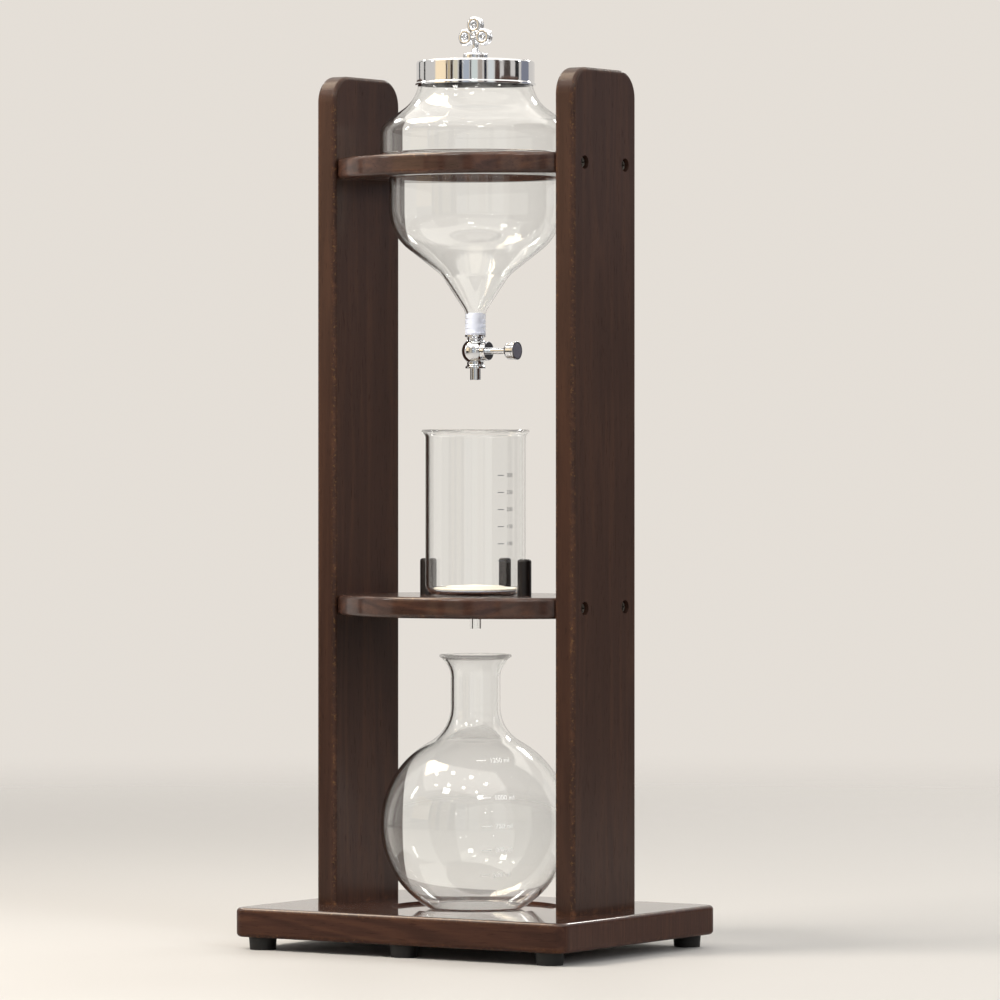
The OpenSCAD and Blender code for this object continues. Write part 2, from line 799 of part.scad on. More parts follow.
module lid_nut() {
    across_corners = 8.1;
    color(chrome) translate([0, 0, cap_top - cap_wall - lid_nut_height]) difference() {
        cylinder(d = across_corners, h = lid_nut_height, $fn = 6);
        translate([0, 0, -over]) cylinder(r = stud_radius + fit, h = lid_nut_height + 2 * over);
    }
}

// ---------------------------------------------------------------- coffee chamber and flask

module coffee_chamber() {
    lip = glass_wall * 0.6;
    glass_vessel([
        [chamber_rim_radius - 0.6 * lip, chamber_top - 1.6 * lip, 0],
        [chamber_radius, chamber_top - chamber_lip_drop, 4],
        [chamber_radius, chamber_floor, chamber_floor_fillet],
        [drip_tube_radius, chamber_floor, 1.6],
        [drip_tube_radius, drip_tube_end, 0]
    ], lip);
}

module filter_disc() {
    color("#f4f2ea") translate([0, 0, filter_seat + filter_gasket_thickness])
        rounded_disc(filter_radius, filter_thickness, 0.6);
}

module filter_gasket() {
    color("#d9dad6") translate([0, 0, filter_seat]) difference() {
        cylinder(r = filter_radius - 1, h = filter_gasket_thickness);
        translate([0, 0, -over])
            cylinder(r = filter_radius - 6, h = filter_gasket_thickness + 2 * over);
    }
}

module flask() {
    glass_vessel([
        [flask_neck_radius + flask_flare, flask_top, 0],
        [flask_neck_radius, flask_rim_corner, flask_rim_fillet],
        [flask_neck_radius, flask_shoulder, flask_neck_fillet],
        [flask_radius, flask_middle + flask_belly_reach, flask_radius],
        [flask_radius, flask_middle - flask_belly_reach, flask_radius],
        [flask_base_radius, flask_seat, flask_base_fillet],
        [0, flask_seat, 0]
    ], glass_wall * 0.6);
}

// ---------------------------------------------------------------- nodes

base_board();
left_upright();
right_upright();
tank_shelf();
chamber_shelf();
foot(-1, -1);  // foot_front_left
foot(0, -1);  // foot_front_middle
foot(1, -1);  // foot_front_right
foot(-1, 1);  // foot_back_left
foot(0, 1);  // foot_back_middle
foot(1, 1);  // foot_back_right
foot_screws();
base_screws();
left_shelf_screws();
right_shelf_screws();
post(180);  // post_left
post(90);  // post_back
post(0);  // post_right
water_tank();
outlet_bush();
valve_body();
gland_nut();
packing_ring();
needle_stem();
valve_knob();
nozzle_nut();
outlet_nozzle();
lid_cap();
lid_gasket();
lid_collar();
lid_ornament();
lid_nut();
coffee_chamber();
filter_disc();
filter_gasket();
flask();
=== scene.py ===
"""Cold drip coffee tower: finishes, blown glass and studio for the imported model.

Lengths are metres, in the model's own frame: the origin is on the floor under the middle of the
base, X runs from upright to upright, -Y is the open front and Z is up.
"""

import math

import bmesh
import bpy
from bpy.props import FloatProperty, FloatVectorProperty, PointerProperty
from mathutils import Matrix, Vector


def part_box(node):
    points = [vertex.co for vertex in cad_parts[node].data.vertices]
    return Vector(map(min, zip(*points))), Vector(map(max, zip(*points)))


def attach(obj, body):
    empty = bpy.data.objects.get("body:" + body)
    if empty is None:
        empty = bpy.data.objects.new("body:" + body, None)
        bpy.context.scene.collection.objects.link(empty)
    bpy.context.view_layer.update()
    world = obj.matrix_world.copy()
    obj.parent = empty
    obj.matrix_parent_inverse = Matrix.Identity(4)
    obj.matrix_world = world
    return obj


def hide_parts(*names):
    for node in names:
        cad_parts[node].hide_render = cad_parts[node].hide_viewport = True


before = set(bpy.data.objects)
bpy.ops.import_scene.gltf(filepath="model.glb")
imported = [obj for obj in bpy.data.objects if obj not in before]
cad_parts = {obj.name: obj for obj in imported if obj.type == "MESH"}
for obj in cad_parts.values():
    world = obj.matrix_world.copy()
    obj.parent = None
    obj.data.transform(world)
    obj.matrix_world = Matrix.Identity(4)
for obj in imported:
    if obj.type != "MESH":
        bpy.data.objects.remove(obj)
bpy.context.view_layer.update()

bl_info = {
    "name": "Cold Drip Coffee Tower",
    "version": (1, 0, 0),
    "blender": (4, 5, 0),
    "location": "View3D > Sidebar > Coffee Tower",
    "description": "Stained walnut, blown glass and polished metal for a cold drip coffee tower",
    "category": "Add Mesh",
}

MM = 0.001


# ------------------------------------------------------------------ settings

def length(name, description, default):
    return FloatProperty(name=name, description=description, default=default,
                         min=0.0, subtype="DISTANCE", unit="LENGTH")


def tint(hex_code):
    """Linear colour of a hex code such as 4a352c."""
    parts = [int(hex_code[i:i + 2], 16) / 255 for i in (0, 2, 4)]
    return [p / 12.92 if p <= 0.04045 else ((p + 0.055) / 1.055) ** 2.4 for p in parts]


def colour(name, description, hex_code):
    return FloatVectorProperty(name=name, description=description, default=tint(hex_code),
                               size=3, min=0.0, max=1.0, subtype="COLOR")


class GlassSizes(bpy.types.PropertyGroup):
    """Sizes of the three blown vessels"""
    wall: length("Wall", "Thickness of the glass", 2.0 * MM)
    neck: length("Tank neck", "Radius of the tank's neck", 40.6 * MM)
    bulge: length("Tank bulge", "Radius of the bulge above the shelf", 68.4 * MM)
    body: length("Tank body", "Radius of the tank below the shelf", 62.1 * MM)
    throat: length("Tank throat", "Radius where the funnel steepens", 24.5 * MM)
    outlet: length("Tank outlet", "Radius of the outlet tube", 7.4 * MM)
    chamber: length("Chamber", "Radius of the coffee chamber", 35.9 * MM)
    chamber_rim: length("Chamber rim", "Radius of the chamber's flared rim", 39.0 * MM)
    drip_tube: length("Drip tube", "Radius of the chamber's drip tube", 4.0 * MM)
    flask: length("Flask", "Radius of the flask's round body", 68.0 * MM)
    flask_base: length("Flask bottom", "Radius of the flask's flat bottom", 32.6 * MM)
    flask_neck: length("Flask neck", "Radius of the flask's neck", 17.8 * MM)
    flask_flare: length("Flask flare", "How far the flask's rim flares out", 7.6 * MM)


class TowerColours(bpy.types.PropertyGroup):
    """Colours of the tower"""
    walnut: colour("Walnut", "Stained wood of the uprights", "432d24")
    shelf_wood: colour("Shelves", "Stained wood of both shelves", "483027")
    # Walnut, light colours the lighter grain streaks and also the painted highlight along the board
    # edges
    walnut_light_and_edge_highlight: colour("Walnut, light", "Lighter streaks of the stained wood", "704a34")
    walnut_dark: colour("Walnut, dark", "Pores and dark streaks of the wood", "1a0e09")
    # Worn stain colours the edge specks, part worn stain and part painted glint
    worn_stain_and_edge_glint: colour("Worn stain", "Specks where the stain has worn off the edges", "a07442")
    base_wood: colour("Base", "Stained wood of the base board", "482d23")
    glass: colour("Glass", "Tint of the glass", "fdfefe")
    # Glass edge: painted shade, the tint that darkens the glass where it turns away from the eye
    glass_edge_painted_shade: colour("Glass edge", "Tint where the glass turns away", "6c7676")
    chrome: colour("Chrome", "Polished metal", "dcdee2")
    rubber: colour("Rubber", "Feet", "0d0c0c")
    plastic: colour("Posts", "Retaining posts", "201b1b")
    silicone: colour("Silicone", "Bush and gaskets", "e2e7f6")
    ceramic: colour("Ceramic", "Filter disc", "e9e3d7")
    ceramic_shade: colour("Ceramic, shaded", "Pores of the filter disc", "cfc8b8")
    steel: colour("Screws", "Bright plating of the screws", "8f8c86")
    steel_dull: colour("Screws, dull", "Dull patches of the plating", "5b554d")
    enamel: colour("Marks", "White enamel of the graduations", "fbfbf8")
    grey_enamel: colour("Chamber marks", "Grey enamel of the chamber's marks", "878d94")
    knob_face: colour("Knob face", "Grey end of the knob", "9698ac")


class StudioSettings(bpy.types.PropertyGroup):
    """Camera and light"""
    azimuth: FloatProperty(name="Azimuth", description="Camera angle from the front towards +X",
                           default=math.radians(33.0), subtype="ANGLE")
    distance: length("Distance", "Camera distance from the tower's axis", 4.29)
    height: length("Height", "Camera height over the floor", 0.356)
    key: FloatProperty(name="Key light", description="Power of the key light in watts",
                       default=18.0, min=0.0)
    fill: FloatProperty(name="Fill light", description="Power of the fill light in watts",
                        default=20.0, min=0.0)
    ambient: FloatProperty(name="Ambient", description="Strength of the room's soft light",
                           default=0.42, min=0.0)


# ------------------------------------------------------------------ shader maths

class Flow:
    """A value, vector or colour that runs from one node's output to the next."""

    def __init__(self, nodes, socket):
        self.nodes = nodes
        self.socket = socket

    def maths(self, operation, *values):
        return self.nodes.node("Math", {"operation": operation}, *values)

    def __add__(self, other):
        return self.maths("ADD", self, other)

    def __sub__(self, other):
        return self.maths("SUBTRACT", self, other)

    def __rsub__(self, other):
        return self.maths("SUBTRACT", other, self)

    def __mul__(self, other):
        return self.maths("MULTIPLY", self, other)

    def __abs__(self):
        return self.maths("ABSOLUTE", self)

    __radd__ = __add__
    __rmul__ = __mul__

    def sine(self):
        return self.maths("SINE", self)

    def least(self, other):
        return self.maths("MINIMUM", self, other)

    def fade(self, start, end):
        """0 at start and 1 at end, smooth between."""
        return self.nodes.node("MapRange", {"interpolation_type": "SMOOTHSTEP"},
                               Value=self, **{"From Min": start, "From Max": end})


class Nodes:
    """A tree of shader nodes."""

    def __init__(self, tree):
        self.tree = tree

    def node(self, kind, settings=None, *values, out=0, **named):
        """A node of that kind: its settings first, then its inputs by place or by name."""
        made = self.tree.nodes.new("ShaderNode" + kind)
        for key, value in (settings or {}).items():
            if key == "stops":
                self.set_stops(made.color_ramp, value)
            else:
                setattr(made, key, value)
        for place, value in list(enumerate(values)) + list(named.items()):
            self.feed(made.inputs[place], value)
        return Flow(self, made.outputs[out])

    @staticmethod
    def set_stops(ramp, stops):
        while len(ramp.elements) < len(stops):
            ramp.elements.new(1.0)
        for element, (place, value) in zip(ramp.elements, stops):
            element.position = place
            element.color = (*value, 1.0)

    def feed(self, socket, value):
        if isinstance(value, Flow):
            self.tree.links.new(value.socket, socket)
        elif socket.type == "RGBA" and len(value) == 3:
            socket.default_value = (*value, 1.0)
        else:
            socket.default_value = value

    def seen_directly(self):
        """1 for what the camera, gloss and glass see, and 0 for the light that things throw."""
        return sum(self.node("LightPath", out=f"Is {ray} Ray")
                   for ray in ("Camera", "Glossy", "Transmission"))


class Finish(Nodes):
    """One material: a Principled shader and the nodes that feed it."""

    def __init__(self, name, **constants):
        self.material = bpy.data.materials.new(name)
        self.material.use_nodes = True
        super().__init__(self.material.node_tree)
        self.shader = self.tree.nodes["Principled BSDF"]
        for socket, value in constants.items():
            self.set(socket.replace("_", " "), value)

    def set(self, name, value):
        self.feed(self.shader.inputs[name], value)

    def place(self, stretch=(1, 1, 1), shift=(0, 0, 0)):
        """The surface point in metres, shifted and then stretched along the axes."""
        point = self.node("TexCoord", out="Object")
        moved = self.node("VectorMath", {"operation": "ADD"}, point, shift)
        return self.node("VectorMath", {"operation": "MULTIPLY"}, moved, stretch)

    def axis(self, name):
        """The surface point's place along an axis, in metres."""
        return self.node("SeparateXYZ", None, self.node("TexCoord", out="Object"), out=name)

    def facing(self, name):
        """How far the surface faces along an axis, from -1 to 1."""
        return self.node("SeparateXYZ", None, self.node("NewGeometry", out="Normal"), out=name)

    def noise(self, point, scale, detail=2.0, roughness=0.5, distortion=0.0):
        return self.node("TexNoise", None, Vector=point, Scale=scale, Detail=detail,
                         Roughness=roughness, Distortion=distortion)

    def mix(self, factor, first, second):
        """A colour between two others."""
        first_colour, second_colour, result = 6, 7, 2
        mixed = self.node("Mix", {"data_type": "RGBA"}, factor, out=result)
        self.feed(mixed.socket.node.inputs[first_colour], first)
        self.feed(mixed.socket.node.inputs[second_colour], second)
        return mixed

    def bump(self, height, strength, depth):
        self.set("Normal", self.node("Bump", None, Strength=strength, Distance=depth, Height=height,
                                     out="Normal"))


# Stretch of the grain along a board, and of the saw marks across its cut ends
GRAIN = {"X": (0.07, 1.0, 1.0), "Z": (1.0, 1.0, 0.07)}
END_GRAIN = {"X": (1.0, 1.0, 0.05), "Z": (1.0, 0.05, 1.0)}


def blended(first, second, share):
    """A colour that lies a share of the way from the first to the second."""
    return [a + share * (b - a) for a, b in zip(first, second)]


def near_sides(finish, lowest, highest, reach):
    """For each axis 1 on a board's two sides across it, and 0 further than reach from them."""
    near = []
    for i, axis in enumerate("XYZ"):
        place = finish.axis(axis)
        gap = (place - lowest[i]).least(highest[i] - place)
        near.append(1.0 - gap.fade(0.0, reach))
    return near


def stained_wood(name, node, along, look, colours, seed):
    """Lacquered walnut: figure, fibre streaks, open pores, end grain, and rubbed edges lightened by a
    painted highlight, with specks that are part worn stain and part painted glint.
    """
    finish = Finish(name, Specular_IOR_Level=0.1, Coat_IOR=1.45, Coat_Roughness=look["haze"])
    shift = (0.31 * seed, 0.17 * seed, 0.23 * seed)
    spot = finish.place(shift=shift)
    board = finish.place(GRAIN[along], shift)
    sway = finish.noise(board, 9.0, 2.0, 0.5, 0.4)
    figure = finish.noise(board, 30.0, 3.0, 0.5, 0.9)
    rings = (figure * 34.0 + sway * 14.0).sine() * 0.5 + 0.5
    fibres = finish.noise(board, 900.0, 4.0, 0.65)
    streaks = finish.noise(board, 210.0, 3.0, 0.6, 0.3)
    pores = finish.noise(board, 1500.0, 1.0, 0.4).fade(0.63, 0.72)
    cut = abs(finish.facing(along)).fade(0.8, 0.96)
    saw_marks = finish.noise(finish.place(END_GRAIN[along], shift), 620.0, 3.0, 0.6)
    lowest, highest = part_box(node)
    x, y, z = near_sides(finish, lowest, highest, 4.5 * MM)
    # Painted highlight: a lighter band where two sides meet, standing in for the shine of the rounded
    # edges, with some rub wear
    edge_rub_and_highlight = (x * y + y * z + x * z) * finish.noise(spot, 170.0, 4.0, 0.65).fade(0.46, 0.66)
    long_edge = x * y if along == "Z" else y * z
    # Painted glints: specks along the long edges, part worn stain
    edge_specks_and_glints = long_edge * finish.noise(spot, 520.0, 2.0, 0.6).fade(0.57, 0.69)

    long_grain = rings * 0.36 + streaks.fade(0.25, 0.75) * 0.34 + fibres * 0.3
    grain = long_grain + cut * (saw_marks - long_grain)
    light = (0.42 + (grain - 0.5) * look["figure"]).fade(0.0, 1.0)
    base = look["colour"]
    stops = [(0.0, blended(base, colours.walnut_dark, 0.55)), (0.4, base),
             (1.0, blended(base, colours.walnut_light_and_edge_highlight, 0.65))]
    wood = finish.node("ValToRGB", {"stops": stops}, light, out="Color")
    wood = finish.mix(pores * 0.4, wood, colours.walnut_dark)
    # The edge band and specks are painted lighter: painted highlight and glints, part wear
    wood = finish.mix(edge_rub_and_highlight * 0.45, wood, colours.walnut_light_and_edge_highlight)
    wood = finish.mix(edge_specks_and_glints * 0.45, wood, colours.worn_stain_and_edge_glint)
    finish.set("Base Color", wood)
    finish.set("Roughness", 0.38 + streaks * 0.14 + pores * 0.2 - edge_rub_and_highlight * 0.1)
    upward = finish.facing("Z").fade(0.08, 0.6)
    coat = look["coat"] + (look["top_coat"] - look["coat"]) * upward
    finish.set("Coat Weight", coat - pores * 0.1)
    finish.bump(fibres * 0.3 + streaks * 0.2 - pores * 0.8, 0.28, 0.1 * MM)
    return finish.material


def clear_glass(colours, rims):
    """Clear borosilicate with faint handling haze and painted shade towards its outlines, brighter
    along both open rims.
    """
    finish = Finish("clear_glass", Transmission_Weight=1.0, IOR=1.47, Sheen_Weight=0.06,
                    Sheen_Roughness=0.25)
    # Painted shade: the tint darkens towards the outlines, where the glass turns away from the eye
    painted_edge_shade = finish.node("LayerWeight", None, Blend=0.5, out="Facing").fade(0.66, 0.97)
    finish.set("Base Color", finish.mix(painted_edge_shade, colours.glass, colours.glass_edge_painted_shade))
    haze = finish.noise(finish.place(), 60.0, 3.0, 0.6).fade(0.52, 0.8)
    finish.set("Roughness", 0.001 + haze * 0.008)
    waves = finish.noise(finish.place((1, 1, 0.4)), 38.0, 1.0, 0.4)
    finish.bump(waves, 0.12, 0.12 * MM)
    height = finish.axis("Z")
    beads = [1.0 - abs(height - rim).fade(0.9 * MM, 2.0 * MM) for rim in rims]
    finish.set("Alpha", 1.0 - (beads[0] + beads[1]) * 0.5)
    return finish.material


def polished_chrome(colours):
    """Bright plating with faint wipe marks."""
    finish = Finish("polished_chrome", Metallic=1.0, Base_Color=colours.chrome)
    wipes = finish.noise(finish.place((1, 1, 3)), 240.0, 4.0, 0.6)
    smears = finish.noise(finish.place(), 75.0, 2.0, 0.5).fade(0.45, 0.75)
    finish.set("Roughness", 0.05 + wipes * 0.05 + smears * 0.06)
    finish.bump(finish.noise(finish.place(), 130.0, 1.0, 0.4), 0.06, 0.05 * MM)
    return finish.material


def moulded(name, base, roughness, grain, cloudiness=0.3):
    """Moulded rubber, plastic or silicone with a fine grained skin."""
    finish = Finish(name, Specular_IOR_Level=0.4)
    skin = finish.noise(finish.place(), grain, 3.0, 0.6)
    cloud = finish.noise(finish.place(), 55.0, 2.0, 0.5)
    pale = [min(1.0, 1.6 * part + 0.01) for part in base]
    finish.set("Base Color", finish.mix(cloud * cloudiness, base, pale))
    finish.set("Roughness", roughness - 0.08 + cloud * 0.12 + skin * 0.04)
    finish.bump(skin, 0.3, 0.08 * MM)
    return finish.material


def porous_ceramic(colours):
    """Unglazed sintered disc with open grains."""
    finish = Finish("porous_ceramic", Specular_IOR_Level=0.3)
    grains = finish.node("TexVoronoi", None, Vector=finish.place(), Scale=1100.0)
    tone = finish.noise(finish.place(), 160.0, 3.0, 0.6)
    shade = tone * 0.35 + grains * 0.3
    finish.set("Base Color", finish.mix(shade, colours.ceramic, colours.ceramic_shade))
    finish.set("Roughness", 0.8 + grains * 0.15)
    finish.bump(grains, 0.5, 0.15 * MM)
    return finish.material


def plated_steel(colours):
    """Zinc-plated screw steel with dull patches."""
    finish = Finish("plated_steel", Metallic=1.0)
    dull = finish.noise(finish.place(), 420.0, 3.0, 0.6)
    finish.set("Base Color", finish.mix(dull, colours.steel, colours.steel_dull))
    finish.set("Roughness", 0.28 + dull * 0.25)
    finish.bump(dull, 0.2, 0.05 * MM)
    return finish.material


def fired_enamel(name, base, glow):
    """Fired-on marks, a little worn; a faint glow stands for the light that the glass gathers."""
    finish = Finish(name, Specular_IOR_Level=0.5, Emission_Color=base, Emission_Strength=glow)
    worn = finish.noise(finish.place(), 700.0, 3.0, 0.6)
    finish.set("Base Color", finish.mix(worn * 0.25, base, [0.8 * part for part in base]))
    finish.set("Roughness", 0.45 + worn * 0.2)
    return finish.material


def dress(names, material):
    """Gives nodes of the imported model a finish."""
    for name in names:
        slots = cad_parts[name].data.materials
        slots.clear()
        slots.append(material)


def placed(name, data):
    """Puts a mesh, a lamp or a camera in the scene."""
    piece = bpy.data.objects.new(name, data)
    bpy.context.scene.collection.objects.link(piece)
    return piece


# ------------------------------------------------------------------ turned shapes

ARC_STEP = math.radians(3.0)
LEAST_STEP = 0.01 * MM
LEAST_ARC = 0.3 * MM
SHARP = math.radians(32)
TURNED_SIDES = 144
SMALL_SIDES = 48


def circle(steps):
    """Angles of a full turn in equal steps."""
    return [2 * math.pi * k / steps for k in range(steps)]


def corner_arc(before, corner, after, radius):
    """Points of the arc that rounds a corner of an outline."""
    u = (before - corner).normalized()
    v = (after - corner).normalized()
    half = u.angle(v) / 2
    turn = math.pi - 2 * half
    middle = corner + (u + v).normalized() * radius / math.sin(half)
    first = corner + u * radius / math.tan(half) - middle
    start = math.atan2(first.y, first.x)
    side = -1 if u.x * v.y - u.y * v.x > 0 else 1
    steps = max(3, math.ceil(turn / ARC_STEP))
    angles = [start + side * turn * k / steps for k in range(steps + 1)]
    return [middle + radius * Vector((math.cos(a), math.sin(a))) for a in angles]


def rounded(corners):
    """An outline of (radius, height, rounding) corners, as points."""
    spots = [Vector(corner[:2]) for corner in corners]
    points = [spots[0]]
    for i in range(1, len(corners) - 1):
        if corners[i][2] > 0:
            points += corner_arc(spots[i - 1], spots[i], spots[i + 1], corners[i][2])
        else:
            points.append(spots[i])
    return spaced(points + [spots[-1]])


def spaced(points):
    """The same points without those that fall on the one before."""
    kept = [points[0]]
    for point in points[1:]:
        if (point - kept[-1]).length > LEAST_STEP:
            kept.append(point)
    return kept


def inset(corners, wall):
    """The same outline moved inwards by a wall, its roundings kept concentric."""
    spots = [Vector(corner[:2]) for corner in corners]
    radii = [corner[2] for corner in corners]
    runs = [(b - a).normalized() for a, b in zip(spots, spots[1:])]
    moved = []
    for i, radius in enumerate(radii):
        here, there = runs[max(0, i - 1)], runs[min(i, len(runs) - 1)]
        n, m = Vector((here.y, -here.x)), Vector((there.y, -there.x))
        spot = spots[i] + (n + m) * wall / (1 + n.dot(m))
        bend = 1 if here.x * there.y - here.y * there.x > 0 else -1
        moved.append((spot.x, spot.y, max(LEAST_ARC, radius + bend * wall) if radius > 0 else 0))
    return moved


def bead(inner, outer, below, radius):
    """Fire-polished bead from a wall's inner to its outer side."""
    across = (inner - outer).normalized()
    up = (outer - below).normalized()
    steps = 16
    angles = [math.pi * k / steps for k in range(steps + 1)]
    return [(inner + outer) / 2 + radius * (math.cos(a) * across + math.sin(a) * up) for a in angles]


def turned(name, points, material, sides=TURNED_SIDES):
    """Solid of revolution round Z of a closed outline of (radius, height) points."""
    mesh = bpy.data.meshes.new(name)
    shape = bmesh.new()
    rings = []
    for x, z in points:
        angles = circle(sides) if x > LEAST_STEP else [0.0]
        rings.append([shape.verts.new((x * math.cos(a), x * math.sin(a), z)) for a in angles])
    for here, there in zip(rings, rings[1:] + rings[:1]):
        for k in range(sides):
            after = k + 1
            corners = [here[k % len(here)], here[after % len(here)],
                       there[after % len(there)], there[k % len(there)]]
            corners = list(dict.fromkeys(corners))
            if len(corners) > 2:
                shape.faces.new(corners)
    bmesh.ops.recalc_face_normals(shape, faces=shape.faces)
    shape.to_mesh(mesh)
    shape.free()
    mesh.shade_smooth()
    mesh.set_sharp_from_angle(angle=SHARP)
    mesh.materials.append(material)
    return placed(name, mesh)


def blow(name, corners, lip, wall, material):
    """A glass vessel from its outer outline, rim first."""
    outer = rounded(corners)
    inner = rounded(inset(corners, wall))
    rim = bead(inner[0], outer[0], outer[1], lip)
    piece = turned(name, outer + inner[::-1] + rim, material)
    piece.visible_shadow = False
    return piece, outer


def ring(name, centre_radius, wire, material):
    """Torus round Z."""
    outline = [(centre_radius + wire * math.cos(a), wire * math.sin(a))
               for a in circle(SMALL_SIDES // 2)]
    return turned(name, outline, material, SMALL_SIDES)


def ball(name, radius, material):
    """Sphere at the origin."""
    steps = SMALL_SIDES // 2
    angles = [math.pi * (k / steps - 0.5) for k in range(steps + 1)]
    outline = [(max(0.0, radius * math.cos(a)), radius * math.sin(a)) for a in angles]
    return turned(name, outline, material, SMALL_SIDES)


def laid(piece, place, depth=1.0):
    """Turns a piece's axis from Z to Y, scales it along Y and moves it."""
    for vertex in piece.data.vertices:
        x, y, z = vertex.co
        vertex.co = Vector((x, depth * z, y)) + Vector(place)
    return piece


def baked(piece):
    """The mesh of a piece with its modifiers, or of its lettering."""
    bpy.context.view_layer.update()
    return bpy.data.meshes.new_from_object(
        piece.evaluated_get(bpy.context.evaluated_depsgraph_get()))


def cast(name, parts, grain, smoothing, material):
    """Fuses overlapping pieces into one casting with soft inner corners."""
    whole = bmesh.new()
    for part in parts:
        whole.from_mesh(part.data)
        bpy.data.objects.remove(part)
    mesh = bpy.data.meshes.new(name)
    bmesh.ops.recalc_face_normals(whole, faces=whole.faces)
    whole.to_mesh(mesh)
    whole.free()
    piece = placed(name, mesh)
    remesh = piece.modifiers.new("fuse", "REMESH")
    remesh.mode = "VOXEL"
    remesh.voxel_size = grain
    smooth = piece.modifiers.new("soften", "SMOOTH")
    smooth.iterations = smoothing
    fused = baked(piece)
    piece.modifiers.clear()
    piece.data = fused
    fused.shade_smooth()
    fused.materials.clear()
    fused.materials.append(material)
    return piece


def rise(run, degrees):
    """Height gained over a run at a slope."""
    return run * math.tan(math.radians(degrees))


def radius_at(outline, height):
    """Radius of an outline at a height."""
    for a, b in zip(outline, outline[1:]):
        if min(a.y, b.y) <= height <= max(a.y, b.y) and a.y != b.y:
            return a.x + (b.x - a.x) * (height - a.y) / (b.y - a.y)
    raise ValueError("the outline doesn't reach that height")


def wrap(mesh, outline, azimuth, height, lift):
    """Bends a flat mesh in XY round the vessel, centred at an azimuth and a height."""
    for vertex in mesh.vertices:
        z = height + vertex.co.y
        reach = radius_at(outline, z) + lift
        angle = azimuth + vertex.co.x / reach
        vertex.co = Vector((reach * math.cos(angle), reach * math.sin(angle), z))


def tick_mesh(width, thickness):
    """Flat bar in XY, cut into columns so that it can bend."""
    columns = 6
    mesh = bpy.data.meshes.new("tick")
    places = [width * (k / columns - 0.5) for k in range(columns + 1)]
    corners = [(x, y, 0) for y in (-thickness / 2, thickness / 2) for x in places]
    faces = [(k, k + 1, k + columns + 2, k + columns + 1) for k in range(columns)]
    mesh.from_pydata(corners, [], faces)
    return mesh


def figures_mesh(text, size):
    """Flat figures in XY, left-aligned at the origin."""
    font = bpy.data.curves.new("figures", "FONT")
    font.body = text
    font.size = size
    font.align_y = "CENTER"
    holder = placed("figures", font)
    mesh = baked(holder)
    bpy.data.objects.remove(holder)
    return mesh


def print_scale(name, parts, outline, material, body):
    """Joins flat (mesh, azimuth, height) parts into one printed scale on a vessel."""
    lift = 0.06 * MM
    whole = bmesh.new()
    for mesh, azimuth, height in parts:
        wrap(mesh, outline, azimuth, height, lift)
        whole.from_mesh(mesh)
    joined = bpy.data.meshes.new(name)
    bmesh.ops.recalc_face_normals(whole, faces=whole.faces)
    whole.to_mesh(joined)
    whole.free()
    joined.materials.append(material)
    piece = placed(name, joined)
    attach(piece, body)
    return piece


# ------------------------------------------------------------------ operators

class TowerOperator(bpy.types.Operator):
    """Base of the tower's operators"""
    bl_options = {"REGISTER", "UNDO"}

    @property
    def sizes(self):
        return bpy.context.scene.tower_glass

    @property
    def colours(self):
        return bpy.context.scene.tower_colours


class TOWER_OT_boards(TowerOperator):
    """Stains the base board, the uprights and both shelves"""
    bl_idname = "tower.boards"
    bl_label = "Boards"

    def execute(self, context):
        colours = self.colours
        upright = {"colour": list(colours.walnut), "figure": 0.3, "coat": 0.3, "top_coat": 0.3,
                   "haze": 0.16}
        shelf = {"colour": list(colours.shelf_wood), "figure": 0.75, "coat": 0.75,
                 "top_coat": 0.9, "haze": 0.12}
        board = {"colour": list(colours.base_wood), "figure": 0.65, "coat": 0.15,
                 "top_coat": 1.0, "haze": 0.05}
        boards = [("base_board", "X", board), ("left_upright", "Z", upright),
                  ("right_upright", "Z", upright), ("tank_shelf", "X", shelf),
                  ("chamber_shelf", "X", shelf)]
        for seed, (node, along, look) in enumerate(boards, start=1):
            dress([node], stained_wood(f"walnut_{node}", node, along, look, colours, seed))
        return {"FINISHED"}


class TOWER_OT_fasteners(TowerOperator):
    """Plates the screws and the lid's nut"""
    bl_idname = "tower.fasteners"
    bl_label = "Fasteners"

    def execute(self, context):
        dress(["foot_screws", "base_screws", "left_shelf_screws", "right_shelf_screws", "lid_nut"],
              plated_steel(self.colours))
        return {"FINISHED"}


class TOWER_OT_feet_and_posts(TowerOperator):
    """Rubber feet and the posts round the chamber"""
    bl_idname = "tower.feet_and_posts"
    bl_label = "Feet and Posts"

    def execute(self, context):
        feet = [f"foot_{row}_{column}" for row in ("front", "back")
                for column in ("left", "middle", "right")]
        dress(feet, moulded("black_rubber", list(self.colours.rubber), 0.62, 900.0))
        dress(["post_left", "post_back", "post_right"],
              moulded("black_plastic", list(self.colours.plastic), 0.36, 1400.0, 0.2))
        return {"FINISHED"}


